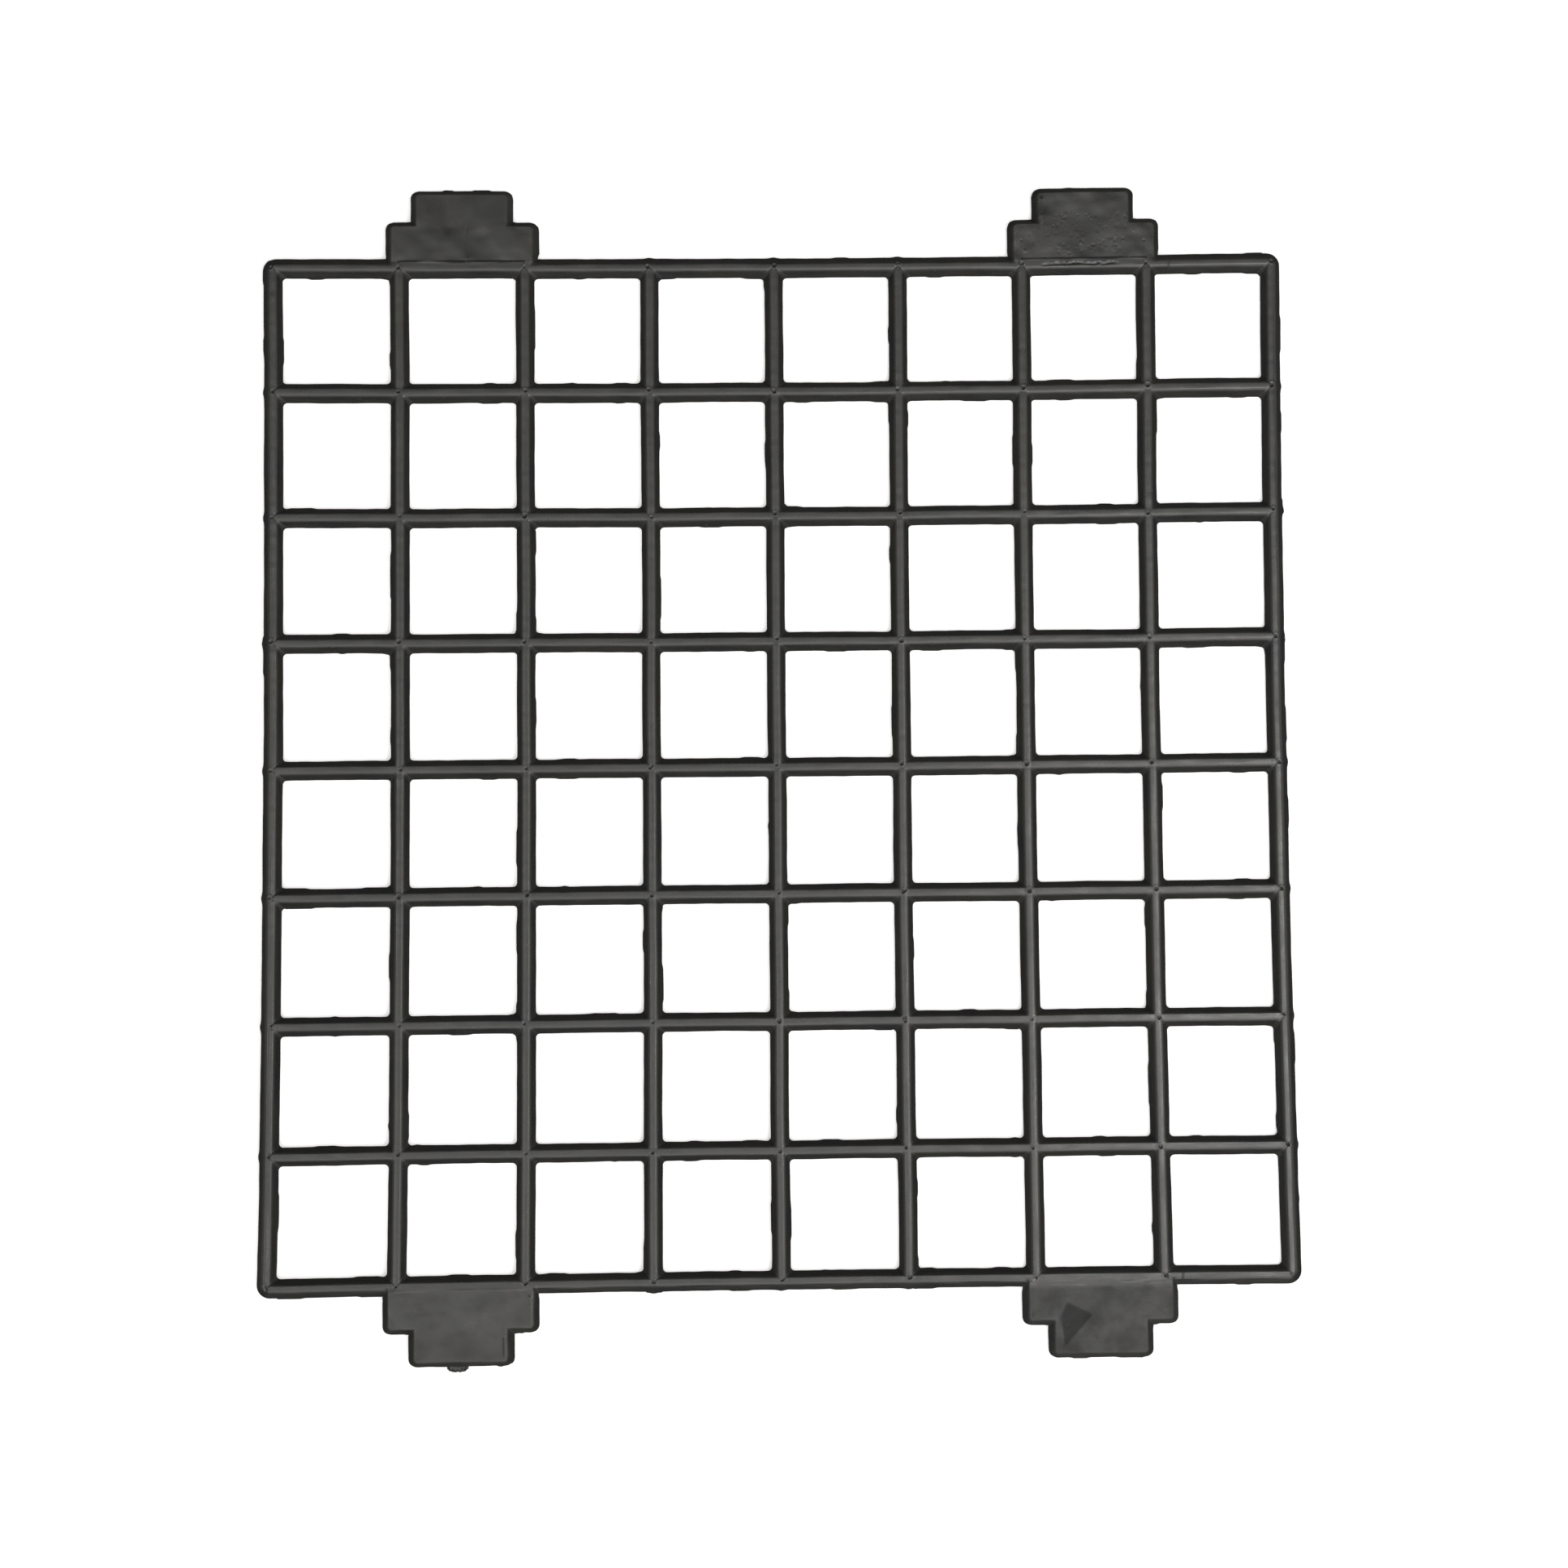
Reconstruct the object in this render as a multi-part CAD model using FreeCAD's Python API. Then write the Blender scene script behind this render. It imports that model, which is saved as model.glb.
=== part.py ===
"""Small moulded queen excluder: a square grid of bee-width openings with four stepped lugs.

The grid lies flat. Its underside is at z = 0 and its visible face looks along +Z. The origin is
the middle of the underside. "Along" bars run along Y, "across" bars run along X, "far" is +Y,
"near" is -Y, "left" is -X and "right" is +X. Every bar has an upright foot and two flanks that
lean in to a narrow flat top. The far and near sides carry two lugs each: a wide shoulder that
stops against the hive part, and a narrower tongue that goes into its slot.

The whole moulding is made first, and then divided where its bars meet. The along ribs run through
every crossing from rim to rim, and the across ribs are lengths that butt against them, mitred
through the rounded corners of the openings. The four rim bars are mitred at the frame's corners.
Each lug is parted from its rim bar, and its tongue from its shoulder, by an upright plane.
"""

import FreeCAD, Part
import math
import os

# Driving dimensions, in millimetres.
CELLS = 8                       # openings along each side
CELL_PITCH_X = 5.00             # from bar centre to bar centre
CELL_PITCH_Y = 5.05
BAR_WIDTH = 0.72                # across the upright foot
BAR_HEIGHT = 0.60
FOOT_HEIGHT = 0.30              # the flanks start here
FLANK_RUN = 0.20                # how far each flank leans in
OPENING_CORNER_RADIUS = 0.17    # at the foot
OPENING_TOP_RADIUS = 0.09       # where the flanks reach the bar's top
FRAME_CORNER_RADIUS = 0.52      # at the foot

LUG_CELL_FROM_CORNER = 2        # each lug stands at the second opening from a corner
SHOULDER_WIDTH = 6.00
SHOULDER_DEPTH = 1.50
TONGUE_WIDTH = 4.00
TONGUE_DEPTH = 1.28
LUG_FLANK_RUN = 0.27
LUG_CORNER_RADIUS = 0.32        # at the foot

GATE_WIDTH = 0.90               # stub left where the moulding was cut from its runner
GATE_DEPTH = 0.25
GATE_HEIGHT = 0.26
GATE_OFFSET_X = -0.14           # from the middle of the near left lug

HALF_BAR = BAR_WIDTH / 2
GRID_HALF_X = CELLS * CELL_PITCH_X / 2
GRID_HALF_Y = CELLS * CELL_PITCH_Y / 2
FRAME_HALF_X = GRID_HALF_X + HALF_BAR
FRAME_HALF_Y = GRID_HALF_Y + HALF_BAR
OPENING_HALF_X = CELL_PITCH_X / 2 - HALF_BAR
OPENING_HALF_Y = CELL_PITCH_Y / 2 - HALF_BAR
LUG_CENTRE_X = GRID_HALF_X - (LUG_CELL_FROM_CORNER - 0.5) * CELL_PITCH_X
STEP_Y = FRAME_HALF_Y + SHOULDER_DEPTH
TIP_Y = STEP_Y + TONGUE_DEPTH
MITRE_REACH = OPENING_CORNER_RADIUS     # the dividing planes run this far past a bar's foot
CUT_MARGIN = 1.0                # cutting tools run this far past the faces they cut

OUT = "parts"


def point(x, y, z=0.0):
    return FreeCAD.Vector(x, y, z)


def rounded_outline(half_x, half_y, radius, z):
    """A closed wire round a rectangle with rounded corners, centred on the Z axis."""
    middle = radius * (1 - math.sqrt(0.5))
    edges = []
    for quarter, (sx, sy) in enumerate(((1, -1), (1, 1), (-1, 1), (-1, -1))):
        before = point(sx * (half_x - radius), sy * half_y, z)
        on_arc = point(sx * (half_x - middle), sy * (half_y - middle), z)
        after = point(sx * half_x, sy * (half_y - radius), z)
        if quarter % 2:
            before, after = after, before
        if edges:
            edges.append(Part.LineSegment(edges[-1].lastVertex().Point, before).toShape())
        edges.append(Part.Arc(before, on_arc, after).toShape())
    edges.append(Part.LineSegment(edges[-1].lastVertex().Point,
                                  edges[0].firstVertex().Point).toShape())
    return Part.Wire(edges)


def footed_block(half_x, half_y, radius, lean, top_radius):
    """A block with an upright foot and sides that lean by `lean`: in if positive, out if not."""
    foot = Part.Face(rounded_outline(half_x, half_y, radius, 0)).extrude(point(0, 0, FOOT_HEIGHT))
    low = rounded_outline(half_x, half_y, radius, FOOT_HEIGHT)
    high = rounded_outline(half_x - lean, half_y - lean, top_radius, BAR_HEIGHT)
    return foot.fuse(Part.makeLoft([low, high], True, True)).removeSplitter()


def opening_tool():
    """The space of one opening, run past both faces of the grid."""
    below = Part.Face(rounded_outline(OPENING_HALF_X, OPENING_HALF_Y, OPENING_CORNER_RADIUS,
                                      -CUT_MARGIN)).extrude(point(0, 0, CUT_MARGIN))
    above = Part.Face(rounded_outline(OPENING_HALF_X + FLANK_RUN, OPENING_HALF_Y + FLANK_RUN,
                                      OPENING_TOP_RADIUS,
                                      BAR_HEIGHT)).extrude(point(0, 0, CUT_MARGIN))
    space = footed_block(OPENING_HALF_X, OPENING_HALF_Y, OPENING_CORNER_RADIUS, -FLANK_RUN,
                         OPENING_TOP_RADIUS)
    return space.fuse([below, above])


def prism(corners):
    """An upright prism on a plan of straight sides, run past both faces of the grid."""
    ring = [point(x, y, -CUT_MARGIN) for x, y in corners]
    face = Part.Face(Part.makePolygon(ring + ring[:1]))
    return face.extrude(point(0, 0, BAR_HEIGHT + 2 * CUT_MARGIN))


def bar_share(x, low_y, high_y):
    """The plan that belongs to a bar on the line x, from foot to foot of the bars it meets."""
    reach = MITRE_REACH
    return [
        (x - HALF_BAR, low_y), (x + HALF_BAR, low_y),
        (x + HALF_BAR + reach, low_y + reach), (x + HALF_BAR + reach, high_y - reach),
        (x + HALF_BAR, high_y), (x - HALF_BAR, high_y),
        (x - HALF_BAR - reach, high_y - reach), (x - HALF_BAR - reach, low_y + reach),
    ]


def line_x(index):
    """X of the along bar number index, where 0 and CELLS are the rims."""
    return index * CELL_PITCH_X - GRID_HALF_X


def line_y(index):
    """Y of the across bar number index, where 0 and CELLS are the rims."""
    return index * CELL_PITCH_Y - GRID_HALF_Y


def lug_block(width, tip_y):
    """A footed block of a lug step's width, centred on the frame and run out to tip_y."""
    return footed_block(width / 2, tip_y, LUG_CORNER_RADIUS, LUG_FLANK_RUN,
                        LUG_CORNER_RADIUS - LUG_FLANK_RUN)


def make_moulding():
    """The whole moulding in one, before it is divided: frame, lugs and openings."""
    blocks = []
    for side_x in (-1, 1):
        for width, tip_y in ((SHOULDER_WIDTH, STEP_Y), (TONGUE_WIDTH, TIP_Y)):
            block = lug_block(width, tip_y)
            block.translate(point(side_x * LUG_CENTRE_X, 0))
            blocks.append(block)
    frame = footed_block(FRAME_HALF_X, FRAME_HALF_Y, FRAME_CORNER_RADIUS, FLANK_RUN,
                         FRAME_CORNER_RADIUS - FLANK_RUN)
    tool = opening_tool()
    spaces = []
    for column in range(CELLS):
        for row in range(CELLS):
            space = tool.copy()
            space.translate(point(line_x(column) + CELL_PITCH_X / 2,
                                  line_y(row) + CELL_PITCH_Y / 2))
            spaces.append(space)
    return frame.fuse(blocks).removeSplitter().cut(spaces)


def across_shares(row):
    """The prisms of the across bar's lengths on one line, one between each two along bars."""
    shares = []
    for column in range(CELLS):
        plan = bar_share(line_y(row), line_x(column) + HALF_BAR, line_x(column + 1) - HALF_BAR)
        shares.append(prism([(x, y) for y, x in reversed(plan)]))
    return shares


def along_share(column):
    """The prism of one whole along bar, from rim to rim."""
    return prism(bar_share(line_x(column), line_y(0) + HALF_BAR, line_y(CELLS) - HALF_BAR))


def rim_share(side_x, side_y):
    """A quarter of the grid's plan, mitred through its corners, that faces (side_x, side_y)."""
    in_x = GRID_HALF_X - HALF_BAR - MITRE_REACH
    in_y = GRID_HALF_Y - HALF_BAR - MITRE_REACH
    if side_x:
        return prism([(side_x * in_x, -in_y), (side_x * FRAME_HALF_X, -FRAME_HALF_Y),
                      (side_x * FRAME_HALF_X, FRAME_HALF_Y), (side_x * in_x, in_y)])
    return prism([(-in_x, side_y * in_y), (-FRAME_HALF_X, side_y * FRAME_HALF_Y),
                  (FRAME_HALF_X, side_y * FRAME_HALF_Y), (in_x, side_y * in_y)])


def lug_share(centre_x, side_y, low_y, high_y):
    """The plan of one step of a lug, from low_y out to high_y on the side side_y."""
    half = SHOULDER_WIDTH / 2 + CUT_MARGIN
    return prism([(centre_x - half, side_y * low_y), (centre_x + half, side_y * low_y),
                  (centre_x + half, side_y * high_y), (centre_x - half, side_y * high_y)])


def solids_of(shape):
    """The shape as one solid, or as a group where it holds several."""
    solids = shape.Solids
    return solids[0] if len(solids) == 1 else Part.makeCompound(solids)


def make_rims(frame):
    """The four rim bars, mitred out of the frame that is left without the ribs."""
    sides = {"rim_left": (-1, 0), "rim_right": (1, 0), "rim_near": (0, -1), "rim_far": (0, 1)}
    return {name: solids_of(frame.common(rim_share(*side))) for name, side in sides.items()}


def make_ribs(moulding, across, along):
    """The ribs both ways. The along ribs keep every crossing and the across ribs butt on them."""
    ribs = {}
    all_across = [share for shares in across.values() for share in shares]
    for column, share in along.items():
        ribs[f"rib_along_{column}"] = solids_of(moulding.common(share).cut(all_across))
    for row, shares in across.items():
        lengths = [moulding.common(share).Solids[0] for share in shares]
        ribs[f"rib_across_{row}"] = Part.makeCompound(lengths)
    return ribs


def make_lugs(moulding):
    """The shoulder and the tongue of each of the four lugs."""
    steps = {"shoulder": (FRAME_HALF_Y, STEP_Y), "tongue": (STEP_Y, TIP_Y + CUT_MARGIN)}
    lugs = {}
    for side, side_y in (("far", 1), ("near", -1)):
        for hand, side_x in (("left", -1), ("right", 1)):
            for step, (low_y, high_y) in steps.items():
                share = lug_share(side_x * LUG_CENTRE_X, side_y, low_y, high_y)
                lugs[f"lug_{side}_{hand}_{step}"] = solids_of(moulding.common(share))
    return lugs


def make_gate_stub():
    """What is left of the gate, on the end of the near left tongue."""
    stub = Part.makeBox(GATE_WIDTH, GATE_DEPTH, GATE_HEIGHT)
    stub.translate(point(GATE_OFFSET_X - LUG_CENTRE_X - GATE_WIDTH / 2, -TIP_Y - GATE_DEPTH))
    return stub


def make_nodes():
    """Every node by its name."""
    moulding = make_moulding()
    inner = range(1, CELLS)
    across = {row: across_shares(row) for row in inner}
    along = {column: along_share(column) for column in inner}
    frame = moulding.cut([share for shares in across.values() for share in shares])
    frame = frame.cut(list(along.values()))
    nodes = make_rims(frame)
    nodes.update(make_ribs(moulding, across, along))
    nodes.update(make_lugs(moulding))
    nodes["gate_stub"] = make_gate_stub()
    return nodes


def main():
    os.makedirs(OUT, exist_ok=True)
    nodes = make_nodes()
    for name, shape in nodes.items():
        if not shape.isValid():
            raise RuntimeError(name + " is not a valid shape")
        shape.exportStep(f"{OUT}/{name}.step")
        print(f"{name}: {len(shape.Solids)} solid(s), {shape.Volume:.4f} cubic mm")
    box = Part.makeCompound(list(nodes.values())).BoundBox
    print(f"whole: {box.XLength:.2f} x {box.YLength:.2f} x {box.ZLength:.2f} mm, "
          f"{sum(shape.Volume for shape in nodes.values()):.2f} cubic mm")


main()
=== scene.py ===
import math
import random

import bpy
import numpy as np
from mathutils import Euler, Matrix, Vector
from mathutils.geometry import delaunay_2d_cdt


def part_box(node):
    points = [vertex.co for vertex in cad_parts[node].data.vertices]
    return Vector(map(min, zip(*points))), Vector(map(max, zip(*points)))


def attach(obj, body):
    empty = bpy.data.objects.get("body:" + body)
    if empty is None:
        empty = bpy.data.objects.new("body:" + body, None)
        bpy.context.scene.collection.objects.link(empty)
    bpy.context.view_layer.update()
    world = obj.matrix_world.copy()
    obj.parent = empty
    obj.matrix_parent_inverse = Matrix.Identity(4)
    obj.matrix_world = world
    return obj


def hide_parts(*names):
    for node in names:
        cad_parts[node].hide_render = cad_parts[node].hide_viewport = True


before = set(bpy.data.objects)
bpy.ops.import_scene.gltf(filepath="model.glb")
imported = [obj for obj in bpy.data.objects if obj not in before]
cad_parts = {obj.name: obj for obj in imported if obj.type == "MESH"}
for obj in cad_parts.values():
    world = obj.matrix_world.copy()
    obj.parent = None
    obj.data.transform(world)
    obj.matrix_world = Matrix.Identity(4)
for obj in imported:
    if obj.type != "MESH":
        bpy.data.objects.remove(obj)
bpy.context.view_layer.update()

MM = 0.001                     # the plan below is worked out in millimetres

# ---------------------------------------------------------------- driving sizes, millimetres
# Values that the CAD holds too are repeated here, as the frame gives only each node's box.
HALF_BAR = 0.36                # half a bar's width at its foot
HEIGHT = 0.60                  # top of the bars
OPENING_RADIUS = 0.17          # rounding of an opening's corners at the foot
RADIUS_LOSS = 0.40             # how fast that rounding tightens with the inset
LEAST_RADIUS = 0.06
CAP = 0.014                    # ripples rise no further than this above the top
FRAME_RADIUS = 0.52            # rounding of the frame's outer corners
LUG_RADIUS = 0.32              # rounding of a lug's corners
REACH = HALF_BAR + OPENING_RADIUS   # a crossing's block ends where its corner rounding does
EASE = 0.025                   # small rounding along the lower edge
LUG_PATCH = 2.5 + REACH         # half length of the rim stretch that is meshed together with a lug

# Inset from the outline where the top surface has its rows of points.
LEVELS = (0.0, 0.065, 0.13, 0.158, 0.186, 0.214, 0.242, 0.27, 0.31, HALF_BAR)
LUG_LEVELS = (0.0, 0.07, 0.135, 0.16, 0.185, 0.21, 0.24, 0.32, 0.45)
# Distances from a crossing's middle at which its block has points along a bar.
AXIS = (0.0, 0.035, 0.07, 0.105, 0.14, 0.175, 0.22, 0.27, 0.315, HALF_BAR, 0.40, 0.445, 0.49, REACH)
ARM_STEPS = 20                 # rows of points along a bar between two crossings
ARC_STEPS = 8                  # edges in a quarter turn
LUG_PITCH = 0.056              # spacing of the mesh points on a lug's face
INNER_LINE = 4                 # any bar line that isn't a rim

ALONG = ["rib_along_%d" % n for n in range(1, 8)]
ACROSS = ["rib_across_%d" % n for n in range(1, 8)]
LUGS = ["lug_%s_%s" % (side, hand) for side in ("far", "near") for hand in ("left", "right")]


# ---------------------------------------------------------------- places, from the CAD
def span(node, axis):
    """Lowest and highest coordinate of a CAD node, in millimetres."""
    low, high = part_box(node)
    return round(low[axis] / MM, 3), round(high[axis] / MM, 3)


def middle(node, axis):
    """Middle of a CAD node along an axis, in millimetres."""
    return round(sum(span(node, axis)) / 2, 3)


FRAME_X = span("rim_right", 0)[1]
FRAME_Y = span("rim_far", 1)[1]
LINES_X = [HALF_BAR - FRAME_X] + [middle(n, 0) for n in ALONG] + [FRAME_X - HALF_BAR]
LINES_Y = [HALF_BAR - FRAME_Y] + [middle(n, 1) for n in ACROSS] + [FRAME_Y - HALF_BAR]
LAST = len(LINES_X) - 1
LUG_X = sorted({middle(n + "_shoulder", 0) for n in LUGS})
SHOULDER_HALF = float(np.ptp(span("lug_far_left_shoulder", 0))) / 2
TONGUE_HALF = float(np.ptp(span("lug_far_left_tongue", 0))) / 2
STEP_Y = span("lug_far_left_shoulder", 1)[1]
TIP_Y = span("lug_far_left_tongue", 1)[1]


# ---------------------------------------------------------------- top surface
def section(slopes):
    """Insets, heights that end at the bar's top, and first slope, from (inset, slope) pairs."""
    inset = np.linspace(0.0, slopes[-1][0], 400)
    slope = np.interp(inset, [s[0] for s in slopes], [s[1] for s in slopes])
    rise = np.concatenate([[0.0], np.cumsum((slope[1:] + slope[:-1]) / 2 * np.diff(inset))])
    return inset, rise - rise[-1] + HEIGHT, slopes[0][1]


OUTER_SECTION = section(((0.0, 1.36), (0.12, 1.36), (0.31, 0.06), (HALF_BAR, 0.0)))
BAR_SECTION = section(((0.0, 1.50), (0.13, 1.50), (0.27, 0.07), (HALF_BAR, 0.0)))
LUG_SECTION = section(((0.0, 1.60), (0.14, 1.60), (0.235, 0.03), (0.45, 0.0)))


def lift(inset, shape):
    """Height at an inset; beyond the outline the first slope runs on downwards."""
    rows, heights, slope = shape
    return np.where(inset < 0, heights[0] + slope * inset, np.interp(inset, rows, heights))


def rounded_box(x, y, middle_x, middle_y, half_x, half_y, radius):
    """Signed distance to a rounded rectangle's outline, positive outside it."""
    qx = np.abs(x - middle_x) - (half_x - radius)
    qy = np.abs(y - middle_y) - (half_y - radius)
    corner = np.hypot(np.maximum(qx, 0), np.maximum(qy, 0))
    return corner + np.minimum(np.maximum(qx, qy), 0) - radius


def opening_radius(inset):
    return np.maximum(OPENING_RADIUS - RADIUS_LOSS * np.maximum(inset, 0), LEAST_RADIUS)


def opening_inset(x, y):
    """Inset from the nearest opening's outline, positive in the plastic.

    Its contours are rounded squares. The rounding depends on the inset, so a few rounds settle it.
    """
    lines_x, lines_y = np.array(LINES_X), np.array(LINES_Y)
    i = np.clip(np.searchsorted(lines_x, x) - 1, 0, LAST - 1)
    j = np.clip(np.searchsorted(lines_y, y) - 1, 0, LAST - 1)
    half_x = (lines_x[i + 1] - lines_x[i]) / 2
    half_y = (lines_y[j + 1] - lines_y[j]) / 2
    past_x = np.abs(x - lines_x[i] - half_x) - (half_x - HALF_BAR)
    past_y = np.abs(y - lines_y[j] - half_y) - (half_y - HALF_BAR)
    sharp = np.maximum(past_x, past_y)
    inset = sharp
    for _ in range(5):
        radius = opening_radius(inset)
        gap = np.minimum(np.abs(past_x - past_y), radius)
        rounded = (past_x + past_y) / 2 + radius - np.sqrt(2 * radius ** 2 - gap ** 2) / 2
        inset = np.where(gap < radius, rounded, sharp)
    return inset


def frame_inset(x, y):
    return -rounded_box(x, y, 0, 0, FRAME_X, FRAME_Y, FRAME_RADIUS)


def lug_inset(x, y, half_width, tip):
    """Inset from the outline of the nearest lug block, which runs back under the grid."""
    left, right = LUG_X
    centre = np.where(x < (left + right) / 2, left, right)
    return -rounded_box(x, np.abs(y), centre, tip / 2, half_width, tip / 2, LUG_RADIUS)


def inset_of(x, y):
    """Distance from the moulding's outline, positive in the plastic."""
    outer = np.maximum(frame_inset(x, y), np.maximum(
        lug_inset(x, y, SHOULDER_HALF, STEP_Y), lug_inset(x, y, TONGUE_HALF, TIP_Y)))
    return np.minimum(opening_inset(x, y), outer)


def ripple(x, y, wavelength, seed, stretch=(1.0, 1.0)):
    """A smooth random surface of about unit height."""
    draw = random.Random(seed)
    total = 0
    for _ in range(7):
        angle = draw.uniform(0, math.tau)
        wave = math.tau / (wavelength * draw.uniform(0.7, 1.6))
        phase = draw.uniform(0, math.tau)
        along = x / stretch[0] * math.cos(angle) + y / stretch[1] * math.sin(angle)
        total = total + np.sin(wave * along + phase)
    return total / 2.6


def smooth(value, low, high):
    t = np.clip((value - low) / (high - low), 0, 1)
    return t * t * (3 - 2 * t)


def make_pits():
    """The small dents at the crossings: x, y, radius and depth."""
    draw = random.Random(41)
    found = []
    for x in LINES_X:
        for y in LINES_Y:
            for _ in range(draw.choice((1, 1, 1, 2))):
                found.append((x + draw.uniform(-0.07, 0.05), y + draw.uniform(-0.05, 0.08),
                              draw.uniform(0.040, 0.060), draw.uniform(0.020, 0.050)))
    return found


def make_specks():
    """Grit cast into the far right lug and the rim beside it: x, y, radius and height."""
    draw = random.Random(52)
    found = []
    for n in range(34):
        found.append((10.9 + 2.9 * (n + draw.uniform(-0.3, 0.3)) / 33,
                      LINES_Y[-1] + draw.uniform(-0.06, 0.02),
                      draw.uniform(0.045, 0.065), -draw.uniform(0.014, 0.028)))
    for _ in range(150):
        found.append((LUG_X[1] + draw.gauss(0, 1.1), LINES_Y[-1] + draw.uniform(0.4, 2.1),
                      draw.uniform(0.03, 0.06), draw.choice((-0.014, 0.012)) * draw.uniform(0.4, 1.0)))
    return [speck for speck in found if abs(speck[0] - LUG_X[1]) < 2.6]


PITS = make_pits()
SPECKS = make_specks()
WITNESS = (("far", 15.9), ("near", 15.7))      # mould insert lines across the rims
# Corners of the flat dent in the near right lug.
FACET = ((-1.35, 0.92), (-0.27, 1.46), (-1.46, 2.77), (-1.62, 1.56))


def nearest(value, lines):
    """Distance, with its sign, from the nearest of the lines."""
    lines = np.array(lines)
    return value - lines[np.argmin(np.abs(value[..., None] - lines), axis=-1)]


def line_mark(across, width, along, start, end):
    """A straight narrow mark that fades in and out at its ends."""
    ends = smooth(along, start, start + 0.12) * smooth(-along, -end, 0.12 - end)
    return np.exp(-(across / width) ** 2) * ends


def facet(u, v):
    """Inset from the outline of the flat dent, positive inside it."""
    inset = np.full_like(u, 9.0)
    for start, end in zip(FACET, FACET[1:] + FACET[:1]):
        away = (end[0] - start[0]) * (v - start[1]) - (end[1] - start[1]) * (u - start[0])
        inset = np.minimum(inset, away / math.dist(start, end))
    return inset


def matt(x, y):
    """How dull the lugs' faces are: a level of their own each, clouds, and the dent.

    Below 0 is glossier than the bars. Each lug's level was set to a measured brightness.
    """
    u, v = nearest(x, LUG_X), np.abs(y) - LINES_Y[-1]
    far, left = y > 0, x < 0
    outer = smooth(v, 1.5, 2.2)
    middle = np.exp(-(u / 1.6) ** 2 - ((v - 1.5) / 0.8) ** 2)
    far_left, far_right = 0.35 + 0.65 * outer, 1.3 * middle - 0.30
    near_left, near_right = 0.05 + 0.28 * outer, 0.70
    dull = np.select([far & left, far, left], [far_left, far_right, near_left], near_right)
    dull = dull + 0.4 * smooth(ripple(x, y, 1.7, 14), -0.2, 1.3)
    dent = ~far & ~left
    dull = np.where(dent, dull + 0.9 * smooth(facet(u, v), 0.0, 0.09), dull)
    return dull * smooth(v, 0.2, 0.5)


def lug_marks(x, y):
    """What each lug's face shows; u runs to the right and v outwards from the rim's centre line."""
    u, v = nearest(x, LUG_X), np.abs(y) - LINES_Y[-1]
    over = v - HALF_BAR
    far, left = y > 0, x < 0
    face = smooth(over, -0.24, -0.10)
    change = -face * (0.022 + 0.012 * np.exp(-u * u / 2.2 - (over - 1.1) ** 2 / 0.8))
    change += face * (0.022 * ripple(x, y, 2.4, 12) + 0.0075 * ripple(x, y, 0.95, 13))
    change += 0.008 * np.exp(-((over + 0.17) / 0.035) ** 2) * (np.abs(u) < 2.85)
    knit = line_mark(u - 0.2 - 0.05 * np.sin(4 * v), 0.045, v, 0.34, 1.7)
    sink = np.exp(-((u + 0.1) ** 2 + (v - 2.0) ** 2) / 0.45)
    change -= np.where(far & left, 0.018 * knit + 0.035 * sink, 0)
    ridge = line_mark(u + TONGUE_HALF - 0.33, 0.06, v, 0.95, 2.8)
    change += np.where(far & ~left, 0.026 * ridge, 0)
    fold = line_mark(u - 1.72, 0.05, v, 1.9, 2.9) + line_mark(u - 2.70, 0.06, v, 0.4, 1.5)
    change += np.where(~far & left, 0.022 * fold, 0)
    lip = line_mark(u + 2.66, 0.05, v, 0.4, 1.6)
    change += np.where(~far & ~left, 0.020 * lip - 0.12 * np.clip(facet(u, v), 0, 0.12), 0)
    for px, py, radius, rise in SPECKS:
        near = (np.abs(x - px) < 0.2) & (np.abs(y - py) < 0.2)
        change[near] += rise * np.exp(-((x[near] - px) ** 2 + (y[near] - py) ** 2) / radius ** 2)
    return change


def detail(x, y, inset):
    """What the moulding process leaves on the top surface."""
    change = 0.0050 * ripple(x, y, 1.7, 5) + 0.0022 * ripple(x, y, 0.6, 6)
    u, v = nearest(x, LINES_X), nearest(y, LINES_Y)
    for px, py, radius, depth in PITS:
        near = (np.abs(x - px) < 0.3) & (np.abs(y - py) < 0.3)
        r = np.hypot(x[near] - px, y[near] - py) / radius
        change[near] -= depth * np.exp(-r * r) - 0.18 * depth * np.exp(-((r - 2.0) / 0.7) ** 2)
    # mitre marks where a rib meets the rim
    at_rim = (np.abs(np.abs(x) - LINES_X[-1]) < 0.5) | (np.abs(np.abs(y) - LINES_Y[-1]) < 0.5)
    off = np.abs(np.abs(u) - np.abs(v))
    inner = (np.abs(x) < LINES_X[-1]) & (np.abs(y) < LINES_Y[-1])
    change -= np.where(at_rim & inner & (np.hypot(u, v) < 0.62), 0.012 * np.exp(-(off / 0.03) ** 2), 0)
    # crossings sink a little, as thick places do
    change -= 0.006 * np.exp(-(u * u + v * v) / 0.09)
    for side, place in WITNESS:
        away = np.abs(y - (1 if side == "far" else -1) * LINES_Y[-1]) > 0.5
        line = -0.02 * np.exp(-((x - place) / 0.025) ** 2) - 0.007 * smooth(x, place - 0.02, place + 0.02)
        change += np.where(away, 0, line)
    # a shallow groove runs along the left rim's top
    change -= 0.013 * np.exp(-((x + LINES_X[-1]) / 0.055) ** 2)
    return (change + lug_marks(x, y)) * smooth(inset, 0.06, 0.22)


def height(x, y):
    x, y = np.asarray(x, float), np.asarray(y, float)
    lug = np.maximum(lift(lug_inset(x, y, SHOULDER_HALF, STEP_Y), LUG_SECTION),
                     lift(lug_inset(x, y, TONGUE_HALF, TIP_Y), LUG_SECTION))
    body = np.minimum(lift(opening_inset(x, y), BAR_SECTION),
                      np.maximum(lift(frame_inset(x, y), OUTER_SECTION), lug))
    change = detail(x, y, inset_of(x, y))
    return body + np.where(change > 0, CAP * np.tanh(change / CAP), change)


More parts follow.
